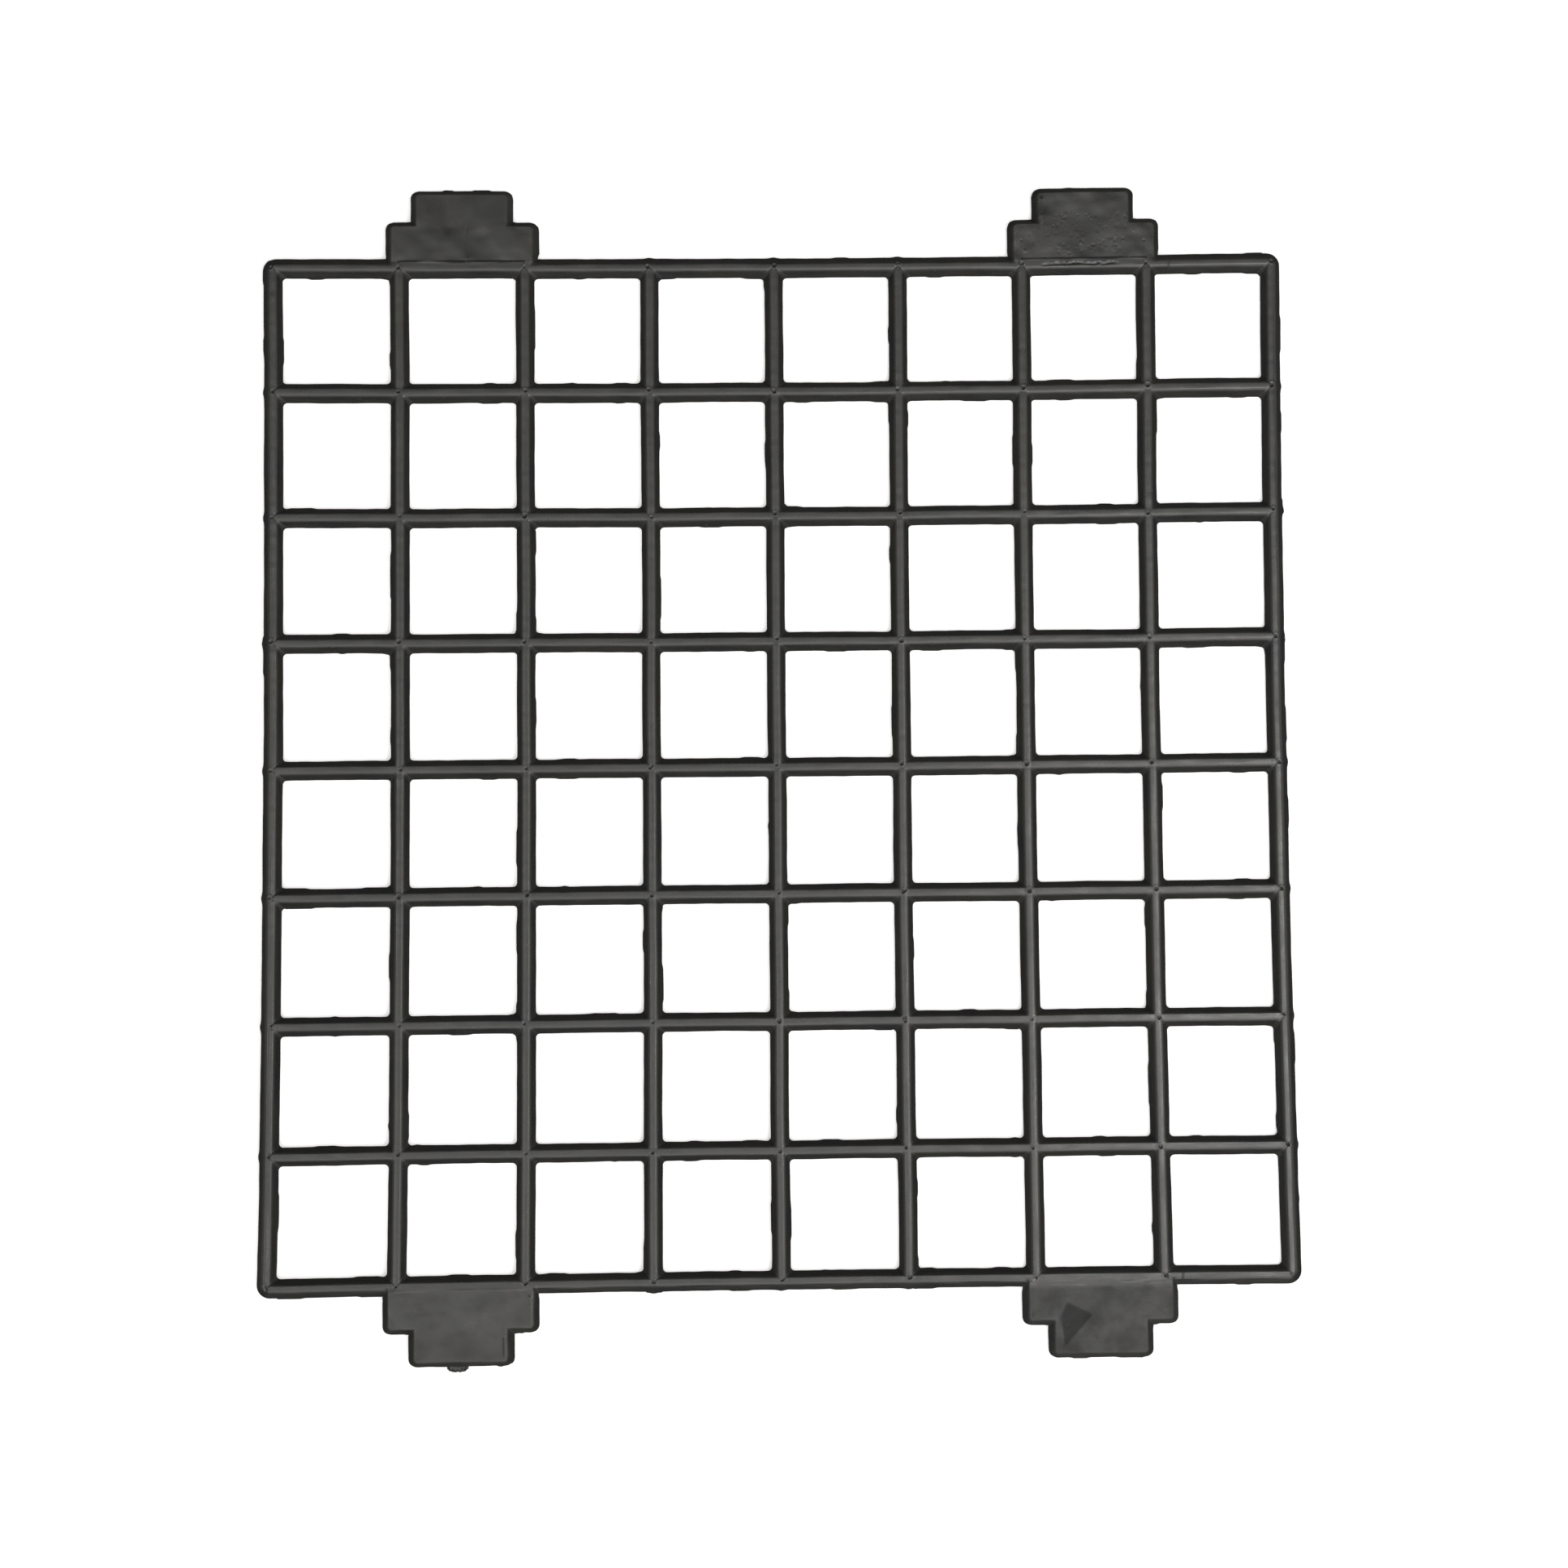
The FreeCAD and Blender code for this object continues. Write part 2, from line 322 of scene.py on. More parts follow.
def gradient(function, x, y, reach=0.004):
    return ((function(x + reach, y) - function(x - reach, y)) / (2 * reach),
            (function(x, y + reach) - function(x, y - reach)) / (2 * reach))


def wander(x, y):
    """How far the soft moulding has drifted from the drawn grid, in plan: its sides bow a little.

    The coefficients come from a least-squares fit made by a separate script.
    """
    u, v = np.clip(x / LINES_X[-1], -1, 1), np.clip(y / LINES_Y[-1], -1, 1)
    dx = u * (0.101 * u * u + 0.131 * v * v - 0.153) - 0.025 * u * u - 0.022 * u * v
    dx += v * (0.020 + 0.009 * v + 0.014 * v * v)
    dy = v * (0.077 * u * u + 0.073 * v * v - 0.079) - 0.014 * v * v - 0.029 * u * v
    dy += u * (0.013 + 0.028 * u + 0.017 * u * u + 0.025 * v * v)
    return (dx + 0.008 * ripple(x, y, 5.5, 22, (3.0, 1.0)),
            dy + 0.008 * ripple(x, y, 5.5, 24, (1.0, 3.0)))


def edge_growth(x, y):
    """Flash and sink along the outline, outwards, in plan."""
    grow = 0.008 + 0.004 * ripple(x, y, 1.1, 31) + 0.005 * ripple(x, y, 3.1, 32)
    grow += 0.034 * smooth(ripple(x, y, 2.4, 33), 0.95, 1.02)
    # the lugs are a little wide, with flash on their ends
    u = np.abs(nearest(x, LUG_X))
    over = np.abs(y) - FRAME_Y
    wide = np.exp(-((u - TONGUE_HALF) / 0.12) ** 2)
    wide += smooth(u, SHOULDER_HALF - 0.25, SHOULDER_HALF - 0.05)
    grow += 0.035 * wide * smooth(over, 0.0, 0.3)
    at_tip = smooth(np.abs(y), TIP_Y - 0.1, TIP_Y) * (u < 1.6)
    grow += 0.035 * smooth(ripple(x, y, 1.3, 34), 0.3, 0.5) * at_tip
    # the rims bulge where a rib ends
    off_x, off_y = np.abs(np.abs(x) - FRAME_X), np.abs(np.abs(y) - FRAME_Y)
    outer = np.minimum(off_x, off_y) < 0.1
    along = np.where(off_x < 0.1, nearest(y, LINES_Y[1:-1]), nearest(x, LINES_X[1:-1]))
    return grow + np.where(outer, 0.045 * np.exp(-(along / 0.17) ** 2), 0)


# ---------------------------------------------------------------- plan of the moulding
class Plan:
    """Points and faces in plan, each face owned by a node.

    Points that agree to 4 decimals are one, so neighbours have to place shared points alike.
    """

    def __init__(self):
        self.index, self.points, self.faces = {}, [], []

    def point(self, x, y):
        key = (round(x, 4), round(y, 4))
        if key not in self.index:
            self.index[key] = len(self.points)
            self.points.append((x, y))
        return self.index[key]

    def face(self, corners, owner):
        area = sum(a[0] * b[1] - a[1] * b[0] for a, b in zip(corners, corners[1:] + corners[:1]))
        ids = []
        for corner in corners if area > 0 else corners[::-1]:
            number = self.point(*corner)
            if number not in ids:
                ids.append(number)
        if len(ids) > 2:
            self.faces.append((tuple(ids), owner))


def triangulate(lines, extra, keep):
    """Triangles of a flat patch through all the lines' points, where keep(x, y) holds."""
    points, edges = [], []
    for line in lines:
        first = len(points)
        points += [Vector(p) for p in line]
        edges += [(n, n + 1) for n in range(first, len(points) - 1)]
    points += [Vector(p) for p in extra]
    corners, _, faces = delaunay_2d_cdt(points, edges, [], 0, 1e-6)[:3]
    found = []
    for face in faces:
        shape = [(corners[n].x, corners[n].y) for n in face]
        x, y = (sum(axis) / len(shape) for axis in zip(*shape))
        if keep(x, y):
            found.append((shape, x, y))
    return found


def arc(x, y, radius, start, end, steps=ARC_STEPS):
    turns = [math.radians(start + (end - start) * n / steps) for n in range(steps + 1)]
    return [(x + radius * math.cos(t), y + radius * math.sin(t)) for t in turns]


def split(start, end, step):
    count = max(1, round(math.dist(start, end) / step))
    return [(start[0] + (end[0] - start[0]) * n / count, start[1] + (end[1] - start[1]) * n / count)
            for n in range(count + 1)]


FINE = [a for a in AXIS if 0 < a < 0.18]
BLOCK_SEAMS = [
    [(HALF_BAR, a) for a in AXIS if a <= HALF_BAR],
    [(a, HALF_BAR) for a in AXIS if a <= HALF_BAR],
]


def corner_lines():
    """The lines of one quarter of a crossing, whose opening corner is centred on (REACH, REACH)."""
    contours = []
    for level in LEVELS[:-1]:
        radius = float(opening_radius(level))
        edge, centre = HALF_BAR - level, HALF_BAR - level + radius
        straight = split((REACH, edge), (centre, edge), 0.06) if level else []
        bend = arc(centre, centre, radius, 270, 180)
        contours.append(straight[:-1] + bend + [(y, x) for x, y in straight[-2::-1]])
    slant = [(0, 0)] + [(a, a) for a in FINE] + [line[len(line) // 2] for line in contours[::-1]]
    return contours + [slant] + BLOCK_SEAMS


def quarter_patch():
    lines = corner_lines()
    lines += [[(a, 0) for a in AXIS], [(0, a) for a in AXIS]]
    extra = [(a, b) for a in FINE for b in FINE]
    return triangulate(lines, extra, lambda x, y: math.hypot(x - REACH, y - REACH) > OPENING_RADIUS)


def frame_corner_patch():
    """The same with the frame's outer corner, whose rounding is centred on (centre, centre)."""
    centre = FRAME_RADIUS - HALF_BAR
    lines = corner_lines()
    for level in LEVELS:
        edge = level - HALF_BAR
        lines.append(split((REACH, edge), (centre, edge), 0.06)
                     + arc(centre, centre, FRAME_RADIUS - level, 270, 180)[1:-1]
                     + split((edge, centre), (edge, REACH), 0.06))
    corner = [line[len(line) // 2] for line in lines[-len(LEVELS):]]
    lines.append(corner + [(0, 0)])
    sides = [(REACH, level - HALF_BAR) for level in LEVELS]
    sides += [(REACH, HALF_BAR - level) for level in LEVELS[::-1]]
    lines += [sides, [(y, x) for x, y in sides]]
    extra = [(a, b) for a in FINE for b in FINE]

    def keep(x, y):
        beyond = x < centre and y < centre and math.hypot(x - centre, y - centre) > FRAME_RADIUS
        return math.hypot(x - REACH, y - REACH) > OPENING_RADIUS and not beyond

    return triangulate(lines, extra, keep)


def lug_patch(stations):
    """A lug with the outer half of the rim under it; y runs outwards from the rim's centre line."""
    step = STEP_Y - LINES_Y[-1]
    tip = TIP_Y - LINES_Y[-1]

    def stair(inset, start):
        """Right half of the lug's outline, moved inwards by inset, from the rim to the tip's middle."""
        bend = max(LUG_RADIUS - inset, 0)
        wide, narrow = SHOULDER_HALF - inset, TONGUE_HALF - inset
        line = split((wide, start), (wide, step - inset - bend), 0.1)
        line += arc(wide - bend, step - inset - bend, bend, 0, 90)[1:] if bend > 0.02 else []
        line += split((wide - bend, step - inset), (narrow, step - inset), 0.1)[1:]
        line += split((narrow, step - inset), (narrow, tip - inset - bend), 0.1)[1:]
        line += arc(narrow - bend, tip - inset - bend, bend, 0, 90)[1:] if bend > 0.02 else []
        return line + split((narrow - bend, tip - inset), (0, tip - inset), 0.1)[1:]

    # the valley is where the lug's flank meets the rim's flank at the same height
    rows, heights, _ = LUG_SECTION
    meets = [float(np.interp(lift(np.array(level), OUTER_SECTION), heights, rows)) for level in LEVELS[:-3]]
    valley = [(SHOULDER_HALF - inset, HALF_BAR - level) for inset, level in zip(meets, LEVELS)]
    half = [stair(level, HALF_BAR if level == 0 else 0.16) for level in LUG_LEVELS]
    half.append(valley)
    for level, meeting in zip(LEVELS, valley):
        half.append([(LUG_PATCH, HALF_BAR - level), meeting])
    half.append([(LUG_PATCH, HALF_BAR - level) for level in LEVELS])
    half.append(split((SHOULDER_HALF, HALF_BAR), (0, HALF_BAR), 0.1))
    half.append(split((TONGUE_HALF, step), (0, step), 0.1))
    half.append([(TONGUE_HALF, step), (TONGUE_HALF - 0.36, step - 0.36)])
    lines = half + [[(-x, y) for x, y in line] for line in half]
    lines.append([(x, 0) for x in stations])
    extra = []
    for row in range(int(tip / LUG_PITCH)):
        for column in range(-55, 56):
            x, y = (column + 0.5 * (row % 2)) * LUG_PITCH, 0.05 + row * LUG_PITCH
            wide = SHOULDER_HALF if y < step - 0.46 else TONGUE_HALF
            if abs(x) < wide - 0.47 and y < tip - 0.47:
                extra.append((x, y))

    def keep(x, y):
        if y < HALF_BAR:
            return True
        inside = -rounded_box(x, y, 0, 0, SHOULDER_HALF, step, LUG_RADIUS)
        narrow = -rounded_box(x, y, 0, 0, TONGUE_HALF, tip, LUG_RADIUS)
        return bool(max(inside, narrow) > 0)

    return triangulate(lines, extra, keep)


def between(lines, n, marks=()):
    """Stations along a bar between crossings n and n + 1."""
    start, end = lines[n] + REACH, lines[n + 1] - REACH
    places = [start + (end - start) * k / ARM_STEPS for k in range(ARM_STEPS + 1)]
    for mark in marks:
        if start < mark < end:
            places = [p for p in places if abs(p - mark) > 0.09]
            places += [mark - 0.06, mark - 0.03, mark, mark + 0.03, mark + 0.06]
    return sorted(places)


ACROSS_ROWS = [level - HALF_BAR for level in LEVELS] + [HALF_BAR - level for level in LEVELS[-2::-1]]
OUTER_ROWS = [HALF_BAR - level for level in LEVELS]


def fill(plan, stations, rows, place, owner):
    """A strip of quads: place(station, row) gives the point in plan."""
    for s, t in zip(stations, stations[1:]):
        for a, b in zip(rows, rows[1:]):
            plan.face([place(s, a), place(t, a), place(t, b), place(s, b)], owner)


def owner_of(i, j, u, v):
    """Who owns a point of the crossing of line i and line j; u and v are its distances from it."""
    side_rim, end_rim = i in (0, LAST), j in (0, LAST)
    flat = u > v                                # nearer the bar that runs across
    if side_rim and end_rim:
        across = flat
    elif end_rim:
        across = v < HALF_BAR or flat
    else:
        across = flat and u > HALF_BAR
    if across:
        return {0: "rim_near", LAST: "rim_far"}.get(j) or ACROSS[j - 1]
    return {0: "rim_left", LAST: "rim_right"}.get(i) or ALONG[i - 1]


def lay_out():
    plan = Plan()
    quarter, corner = quarter_patch(), frame_corner_patch()
    signs = [(sx, sy) for sx in (1, -1) for sy in (1, -1)]
    for i, x in enumerate(LINES_X):
        for j, y in enumerate(LINES_Y):
            outside_x = {0: -1, LAST: 1}.get(i)
            outside_y = {0: -1, LAST: 1}.get(j)
            for sx, sy in signs:
                if sx == outside_x or sy == outside_y:
                    continue
                patch = corner if outside_x and outside_y else quarter
                for shape, u, v in patch:
                    plan.face([(x + sx * a, y + sy * b) for a, b in shape], owner_of(i, j, u, v))
    for i, x in enumerate(LINES_X):
        rows = [r for r in ACROSS_ROWS if not (i == 0 and r < 0) and not (i == LAST and r > 0)]
        for j in range(LAST):
            fill(plan, between(LINES_Y, j), rows, lambda s, r: (x + r, s),
                 owner_of(i, INNER_LINE, 0, 1))
    for j, y in enumerate(LINES_Y):
        rows = [r for r in ACROSS_ROWS if not (j == 0 and r < 0) and not (j == LAST and r > 0)]
        marks = [place for side, place in WITNESS if j == {"near": 0, "far": LAST}[side]]
        for i in range(LAST):
            fill(plan, between(LINES_X, i, marks), rows, lambda s, r: (s, y + r),
                 owner_of(INNER_LINE, j, 1, 0))
    add_outer_halves(plan)
    return plan


def add_outer_halves(plan):
    """The outer half of each rim, and the lugs."""
    both = sorted({-a for a in AXIS} | set(AXIS))
    for outward, owner in ((-1, "rim_left"), (1, "rim_right")):
        stations = [s for j in range(LAST) for s in between(LINES_Y, j)]
        crossings = {round(y + a, 6) for y in LINES_Y[1:-1] for a in both}
        stations = sorted({round(s, 6) for s in stations} | crossings)
        fill(plan, stations, OUTER_ROWS, lambda s, r: (outward * (LINES_X[-1] + r), s), owner)
    for outward, side in ((-1, "near"), (1, "far")):
        marks = [place for where, place in WITNESS if where == side]
        stations = [s for i in range(LAST) for s in between(LINES_X, i, marks)]
        crossings = {round(x + a, 6) for x in LINES_X[1:-1] for a in both}
        stations = sorted({round(s, 6) for s in stations} | crossings)
        runs, run = [], []
        for s in stations:
            under = any(abs(s - x) < LUG_PATCH - 1e-4 for x in LUG_X)
            if not under:
                run.append(s)
            elif run:
                runs.append(run)
                run = []
        for run in runs + [run]:
            fill(plan, run, OUTER_ROWS, lambda s, r: (s, outward * (LINES_Y[-1] + r)),
                 "rim_" + side)
        for x in LUG_X:
            hand = "left" if x < 0 else "right"
            patch = lug_patch([s - x for s in stations if abs(s - x) < LUG_PATCH + 1e-4])
            for shape, _, v in patch:
                if v < HALF_BAR:
                    owner = "rim_" + side
                elif v < STEP_Y - LINES_Y[-1]:
                    owner = "lug_%s_%s_shoulder" % (side, hand)
                else:
                    owner = "lug_%s_%s_tongue" % (side, hand)
                plan.face([(x + a, outward * (LINES_Y[-1] + b)) for a, b in shape], owner)


# ---------------------------------------------------------------- from the plan to solid pieces
def unit(dx, dy):
    """The same direction with length 1."""
    length = np.maximum(np.hypot(dx, dy), 1e-9)
    return dx / length, dy / length


def loops_of(edges):
    """Closed loops of points from directed edges."""
    follow = dict(edges)
    loops = []
    while follow:
        start, here = follow.popitem()
        loop = [start]
        while here != start:
            loop.append(here)
            here = follow.pop(here)
        loops.append(loop)
    return loops


class Surface:
    """Place, direction, inset and dullness of every plan point, worked out once for all pieces."""

    def __init__(self, x, y, top=height, inset=inset_of):
        drift_x, drift_y = wander(x, y)
        slope_x, slope_y = gradient(top, x, y)
        inward_x, inward_y = unit(*gradient(inset, x, y))
        depth = inset(x, y)
        grow = edge_growth(x, y) * (1 - smooth(depth, 0.0, 0.12))
        self.xy = np.stack([x + drift_x - inward_x * grow, y + drift_y - inward_y * grow], 1)
        self.z = top(x, y)
        self.inward = np.stack([inward_x, inward_y], 1)
        self.depth = depth
        self.matt = matt(x, y)
        normal = np.stack([-slope_x, -slope_y, np.ones_like(slope_x)], 1)
        self.normal = normal / np.linalg.norm(normal, axis=1)[:, None]


def solid(name, faces, surface, outline):
    """A closed solid: the faces on top, walls down from its edges, and a flat underside.

    outline holds the edges that are really edges of the moulding; the others part it from
    its neighbours and go straight down.
    """
    used = sorted({n for face in faces for n in face})
    local = {n: k for k, n in enumerate(used)}
    points = [(*surface.xy[n], surface.z[n]) for n in used]
    corners = [tuple(local[n] for n in face) for face in faces]
    normals = [tuple(surface.normal[n]) for face in faces for n in face]
    ways = {}
    for face in faces:
        for a, b in zip(face, face[1:] + face[:1]):
            ways[(a, b)] = True
    edges = [(a, b) for a, b in ways if (b, a) not in ways]
    on_outline = {n for edge in edges if edge in outline for n in edge}
    ease, low = {}, {}
    for n in {n for edge in edges for n in edge}:
        move = EASE if n in on_outline else 0
        ease[n] = len(points)
        points.append((*surface.xy[n], EASE))
        low[n] = len(points)
        points.append((*(surface.xy[n] + surface.inward[n] * move), 0.0))
    for a, b in edges:
        corners += [(local[b], local[a], ease[a], ease[b]), (ease[b], ease[a], low[a], low[b])]
        run = surface.xy[b] - surface.xy[a]
        flat = np.array([run[1], -run[0]]) / max(np.linalg.norm(run), 1e-9)
        out = []
        for n in (b, a, a, b):
            wall = -surface.inward[n]
            out.append(wall if (a, b) in outline and wall @ flat > 0.85 else flat)
        normals += [(*n, 0.0) for n in out]
        tilt = -1.0 if (a, b) in outline else 0.0
        normals += [(*n, tilt) for n in out]
    for loop in loops_of(edges):
        corners.append(tuple(low[n] for n in loop[::-1]))
        normals += [(0.0, 0.0, -1.0)] * len(loop)
    mesh = bpy.data.meshes.new(name)
    mesh.from_pydata([(x * MM, y * MM, z * MM) for x, y, z in points], [], corners)
    mesh.shade_smooth()
    mesh.normals_split_custom_set([Vector(n).normalized() for n in normals])
    for key, field in (("inset", surface.depth), ("matt", surface.matt)):
        values = np.zeros(len(points), np.float32)
        values[:len(used)] = field[used]
        mesh.attributes.new(key, "FLOAT", "POINT").data.foreach_set("value", values)
    piece = bpy.data.objects.new(name, mesh)
    bpy.context.scene.collection.objects.link(piece)
    return piece


def finish_piece(piece, node, material):
    piece.data.materials.append(material)
    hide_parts(node)
    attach(piece, "root")


def make_moulding(materials):
    plan = lay_out()
    x, y = np.array(plan.points).T
    surface = Surface(x, y)
    owned, ways = {}, {}
    for face, owner in plan.faces:
        owned.setdefault(owner, []).append(face)
        for edge in zip(face, face[1:] + face[:1]):
            ways[edge] = True
    outline = {(a, b) for a, b in ways if (b, a) not in ways}
    for node in sorted(owned):
        piece = solid(node + "_moulding", owned[node], surface, outline)
        kind = "across" if "across" in node or node in ("rim_near", "rim_far") else "along"
        finish_piece(piece, node, materials["lug" if "lug" in node else kind])


# ---------------------------------------------------------------- gate stub
def make_gate_stub(material):
    """The broken remnant of the gate, a low rough half disc at the end of a tongue."""
    (left, right), (end, root) = span("gate_stub", 0), span("gate_stub", 1)
    centre, half, reach = (left + right) / 2, (right - left) / 2, root - end
    draw = random.Random(77)
    rim = []
    for n in range(25):
        turn = math.pi * n / 24
        wobble = 1 + draw.uniform(-0.10, 0.0)
        rim.append((centre - half * wobble * math.copysign(abs(math.cos(turn)) ** 0.7, math.cos(turn)),
                    root - reach * wobble * math.sin(turn) ** 0.8))
    rim[0], rim[-1] = (left + 0.01, root), (right - 0.01, root)
    ring = [Vector(p) for p in rim]
    back = [Vector((right + (left - right) * n / 12, root)) for n in range(1, 12)]
    outline = ring + back

    extra = [Vector((left + 0.06 * i, end + 0.05 * j)) for i in range(1, 15) for j in range(1, 5)]
    extra = [p for p in extra if min((p - q).length for q in ring) > 0.045]
    loop = list(range(len(outline)))
    corners, _, faces = delaunay_2d_cdt(outline + extra, [], [loop], 1, 1e-6)[:3]
    plan = Plan()
    for face in faces:
        plan.face([(corners[n].x, corners[n].y) for n in face], "gate_stub")
    x, y = np.array(plan.points).T

    def stub_inset(px, py):
        return np.min([np.hypot(px - p.x, py - p.y) for p in ring[1:-1]], axis=0)

    def stub_top(px, py):
        away = stub_inset(px, py)
        rough = 0.022 * ripple(px, py, 0.22, 78) - 0.03 * smooth(root - py, 0.05, reach)
        return np.minimum(0.10 + 0.13 * smooth(away, 0.0, 0.11) + rough * smooth(away, 0.0, 0.06), 0.258)

    surface = Surface(x, y, stub_top, stub_inset)
    dx, dy = wander(x, y)
    surface.xy = np.stack([x + dx, y + dy], 1)
    piece = solid("gate_stub_moulding", [face for face, _ in plan.faces], surface, set())
    finish_piece(piece, "gate_stub", material)


# ---------------------------------------------------------------- material
class Nodes:
    """A short way to wire the shader nodes of a material or a world."""

    def __init__(self, owner):
        owner.use_nodes = True
        self.tree = owner.node_tree
        self.tree.nodes.clear()

    def add(self, kind, values=None, **settings):
        node = self.tree.nodes.new(kind)
        for key, value in settings.items():
            setattr(node, key, value)
        for key, value in (values or {}).items():
            if isinstance(value, bpy.types.NodeSocket):
                self.tree.links.new(value, node.inputs[key])
            else:
                node.inputs[key].default_value = value
        return node

    def math(self, operation, a, b=0.0):
        return self.add("ShaderNodeMath", {0: a, 1: b}, operation=operation).outputs[0]

    def noise(self, where, scale, detail=3.0, rough=0.55, distortion=0.0):
        values = {"Vector": where, "Scale": scale, "Detail": detail, "Roughness": rough,
                  "Distortion": distortion}
        return self.add("ShaderNodeTexNoise", values).outputs["Fac"]

    def spread(self, value, low, high, to_low, to_high):
        values = {"Value": value, "From Min": low, "From Max": high, "To Min": to_low, "To Max": to_high}
        return self.add("ShaderNodeMapRange", values).outputs["Result"]

    def mix(self, factor, a, b):
        node = self.add("ShaderNodeMix", data_type="RGBA")
        for socket, value in ((node.inputs["Factor"], factor), (node.inputs[6], a), (node.inputs[7], b)):
            if isinstance(value, bpy.types.NodeSocket):
                self.tree.links.new(value, socket)
            else:
                socket.default_value = value
        return node.outputs[2]


def black_plastic(name, streak):
    """Satin black moulded plastic. streak stretches its flow marks along x and y."""
    material = bpy.data.materials.new(name)
    n = Nodes(material)
    place = n.add("ShaderNodeTexCoord").outputs["Object"]
    per_mm = 1 / MM
    grain_at = n.add("ShaderNodeMapping", {"Vector": place, "Scale": (per_mm,) * 3}).outputs[0]
    stretched = (per_mm / streak[0], per_mm / streak[1], per_mm)
    flow_at = n.add("ShaderNodeMapping", {"Vector": place, "Scale": stretched}).outputs[0]
    inset = n.add("ShaderNodeAttribute", attribute_name="inset").outputs["Fac"]
    dull = n.add("ShaderNodeAttribute", attribute_name="matt").outputs["Fac"]
    patches = n.noise(grain_at, 0.55, 4)
    flow = n.noise(flow_at, 5.0, 4, 0.6)
    grain = n.noise(grain_at, 22.0, 5, 0.65)
    specks = n.noise(grain_at, 13.0, 2, 0.5)
    tint = n.noise(grain_at, 0.35, 2)
    # colour: near black, drifting between a cool and an olive cast
    cool, olive = (0.0110, 0.0114, 0.0128, 1), (0.0148, 0.0144, 0.0118, 1)
    colour = n.mix(n.spread(tint, 0.35, 0.65, 0, 1), cool, olive)
    colour = n.mix(n.spread(flow, 0.35, 0.75, 0, 0.55), colour, (0.021, 0.021, 0.019, 1))
    # a lighter band on the rounded shoulders, broken up by the grain: partly rubbed wear, partly a painted
    # highlight
    wear_and_highlight = n.math("MULTIPLY", n.spread(inset, 0.12, 0.22, 0, 1), n.spread(inset, 0.22, 0.34, 1, 0))
    wear_and_highlight = n.math("MULTIPLY", wear_and_highlight, n.spread(grain, 0.45, 0.7, 0, 0.5))
    colour = n.mix(wear_and_highlight, colour, (0.040, 0.040, 0.037, 1))
    dust = n.spread(specks, 0.68, 0.75, 0, 0.5)
    colour = n.mix(dust, colour, (0.075, 0.073, 0.066, 1))
    # roughness: satin, with smoother and duller patches and fine streaks along the flow
    rough = n.math("ADD", n.spread(patches, 0.3, 0.7, 0.26, 0.37), n.spread(flow, 0.3, 0.7, -0.07, 0.09))
    rough = n.math("ADD", rough, n.spread(grain, 0.3, 0.7, -0.03, 0.05))
    rough = n.math("ADD", rough, n.math("MULTIPLY", dust, 0.5))
    rough = n.math("ADD", rough, n.math("MULTIPLY", dull, 0.32))
    # relief: drawn streaks, fine grain and hair scratches
    hair_at = n.add("ShaderNodeMapping", {"Vector": grain_at, "Rotation": (0, 0, 0.6),
                                          "Scale": (1.2, 14.0, 1.0)}).outputs[0]
    hair = n.noise(hair_at, 1.6, 2, 0.5, 0.4)
    scratches = n.spread(n.math("ABSOLUTE", n.math("SUBTRACT", hair, 0.5)), 0.0, 0.012, 1, 0)
    relief = n.math("ADD", n.math("MULTIPLY", flow, 0.0034), n.math("MULTIPLY", grain, 0.0022))
    relief = n.math("ADD", relief, n.math("MULTIPLY", scratches, -0.0006))
    bump = n.add("ShaderNodeBump", {"Height": relief, "Strength": 1.0, "Distance": MM}).outputs["Normal"]
    shader = n.add("ShaderNodeBsdfPrincipled", {"Base Color": colour, "Roughness": rough, "Normal": bump,
                                                "IOR": 1.49})
    n.add("ShaderNodeOutputMaterial", {"Surface": shader.outputs[0]})
    return material


def make_materials():
    return {"along": black_plastic("black_plastic_along", (1.0, 9.0)),
            "across": black_plastic("black_plastic_across", (9.0, 1.0)),
            "lug": black_plastic("black_plastic_lug", (2.0, 2.0))}


# ---------------------------------------------------------------- floor, light and camera
# Soft light from all round: tilt from straight up, azimuth, narrowness and strength of each patch
# of sky. These strengths and the softboxes' began as a least-squares fit made by a separate
# script, and were then adjusted by hand.
SKY = ((0, 0, 12, 0.5), (30, 270, 12, 2.7), (60, 0, 12, 1.6), (60, 180, 12, 0.65), (60, 270, 12, 1.8),
       (15, 60, 60, 1.3), (20, 180, 60, 5.6), (79, 195, 14, 0.55), (79, 290, 14, 0.4), (80, 60, 14, 0.3))
BELOW = 0.08                   # what steep walls mirror in place of the floor
WARM = (1.0, 0.985, 0.955)     # the softboxes' colour
# Softboxes: place and side in millimetres, and radiance.
BOXES = (("softbox_right", (42, 0, 95), 30, 9.5),
         ("softbox_near_right", (35, -28, 95), 30, 5.6),
         ("softbox_near", (25, -75, 50), 40, 1.5))
FLOOR_HALF = 1.5               # metres
FLOOR_DROP = 0.01              # millimetres under the part, so that the two don't flicker
EYE = (-2.697, -14.264, 144.54)        # the camera's place in millimetres, from a fit of the view
EYE_TURN = (5.389, -1.124, -0.555)     # and its rotation in degrees


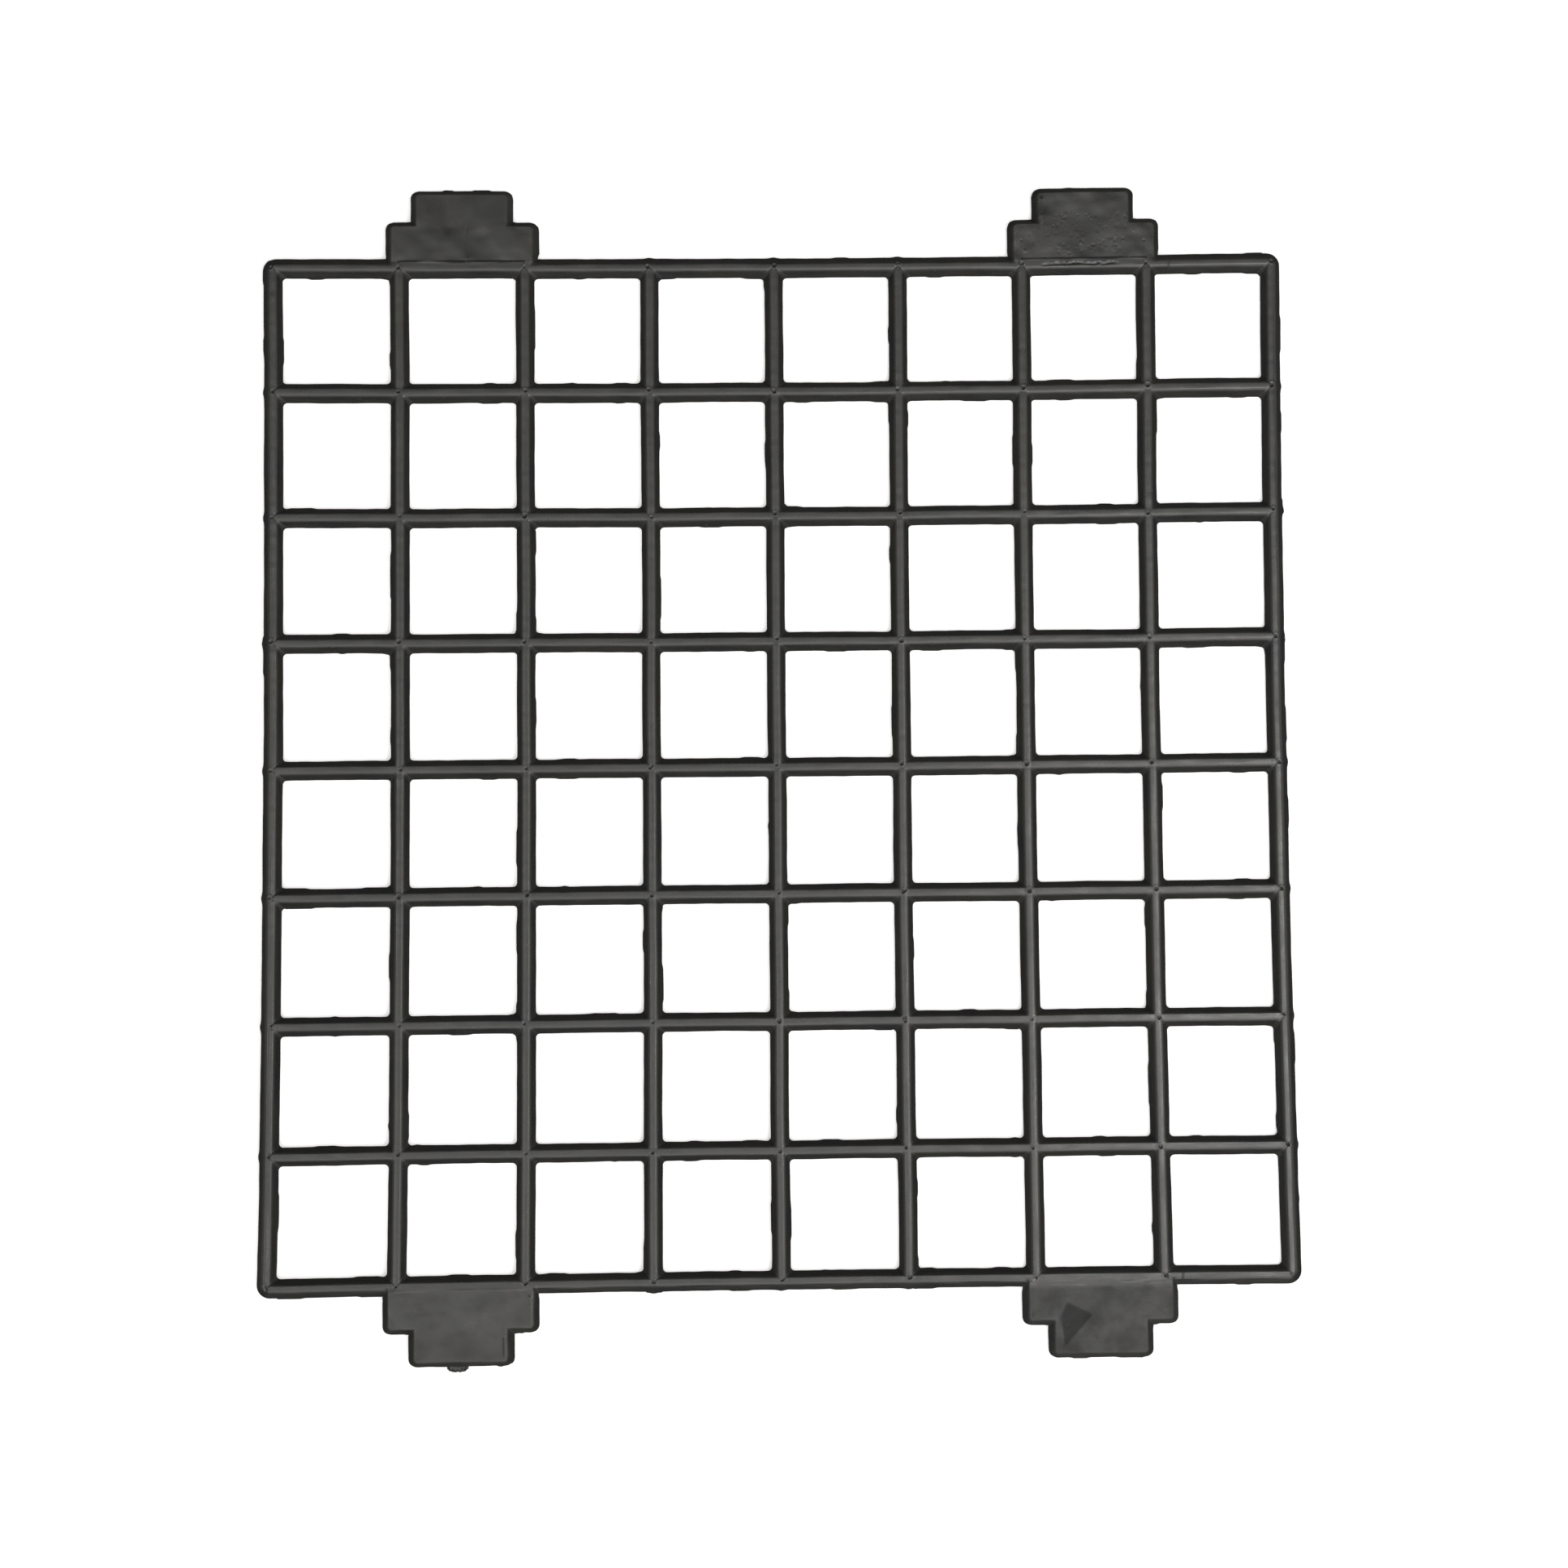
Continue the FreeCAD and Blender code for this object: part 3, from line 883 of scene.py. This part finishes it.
def make_floor():
    """A plain pale floor that the camera sees, and that puts no light on the part."""
    size = FLOOR_HALF
    mesh = bpy.data.meshes.new("floor")
    corners = [(-size, -size, 0), (size, -size, 0), (size, size, 0), (-size, size, 0)]
    mesh.from_pydata(corners, [], [(0, 1, 2, 3)])
    floor = bpy.data.objects.new("floor", mesh)
    floor.location.z = -FLOOR_DROP * MM
    bpy.context.scene.collection.objects.link(floor)
    material = bpy.data.materials.new("floor")
    n = Nodes(material)
    cloud = n.noise(n.add("ShaderNodeTexCoord").outputs["Object"], 9.0, 2)
    colour = n.mix(cloud, (0.80, 0.80, 0.80, 1), (0.83, 0.83, 0.83, 1))
    lit = n.add("ShaderNodeBsdfDiffuse", {"Color": colour})
    glow = n.add("ShaderNodeEmission", {"Color": colour, "Strength": 0.45})
    both = n.add("ShaderNodeAddShader", {0: lit.outputs[0], 1: glow.outputs[0]})
    n.add("ShaderNodeOutputMaterial", {"Surface": both.outputs[0]})
    mesh.materials.append(material)
    floor.visible_glossy = False
    floor.visible_diffuse = False


def make_world():
    """The sky's patches light the part; the camera sees plain white."""
    world = bpy.data.worlds.new("studio")
    n = Nodes(world)
    way = n.add("ShaderNodeTexCoord").outputs["Generated"]
    total = 0.0
    for tilt, azimuth, power, strength in SKY:
        t, a = math.radians(tilt), math.radians(azimuth)
        aim = (math.sin(t) * math.cos(a), math.sin(t) * math.sin(a), math.cos(t))
        dot = n.add("ShaderNodeVectorMath", {0: way, 1: aim}, operation="DOT_PRODUCT").outputs["Value"]
        lobe = n.math("POWER", n.math("MAXIMUM", dot, 0.0), power)
        total = n.math("ADD", n.math("MULTIPLY", lobe, strength), total)
    up = n.add("ShaderNodeSeparateXYZ", {0: way}).outputs["Z"]
    total = n.math("ADD", total, n.spread(up, -0.02, 0.02, BELOW, 0.0))
    dim = n.add("ShaderNodeBackground", {"Color": (1.0, 0.988, 0.962, 1), "Strength": total})
    seen = n.add("ShaderNodeBackground", {"Color": (1, 1, 1, 1)})
    path = n.add("ShaderNodeLightPath")
    mix = n.add("ShaderNodeMixShader", {0: path.outputs["Is Camera Ray"], 1: dim.outputs[0],
                                        2: seen.outputs[0]})
    n.add("ShaderNodeOutputWorld", {"Surface": mix.outputs[0]})
    bpy.context.scene.world = world


def make_lights():
    for name, place, side, radiance in BOXES:
        light = bpy.data.lights.new(name, "AREA")
        light.shape = "SQUARE"
        light.size = side * MM
        light.energy = radiance * math.pi * light.size ** 2
        light.color = WARM
        box = bpy.data.objects.new(name, light)
        box.location = Vector(place) * MM
        box.rotation_euler = Vector(place).to_track_quat("Z", "Y").to_euler()
        box.visible_camera = False
        bpy.context.scene.collection.objects.link(box)


def make_camera():
    camera = bpy.data.cameras.new("camera")
    camera.sensor_width = 36
    camera.lens = 83.85
    camera.clip_start = 0.01
    camera.clip_end = 20
    eye = bpy.data.objects.new("camera", camera)
    eye.location = [place * MM for place in EYE]
    eye.rotation_euler = Euler([math.radians(a) for a in EYE_TURN])
    bpy.context.scene.collection.objects.link(eye)
    bpy.context.scene.camera = eye


materials = make_materials()
make_moulding(materials)
make_gate_stub(materials["lug"])
make_floor()
make_world()
make_lights()
make_camera()
bpy.context.scene.view_settings.view_transform = "Standard"
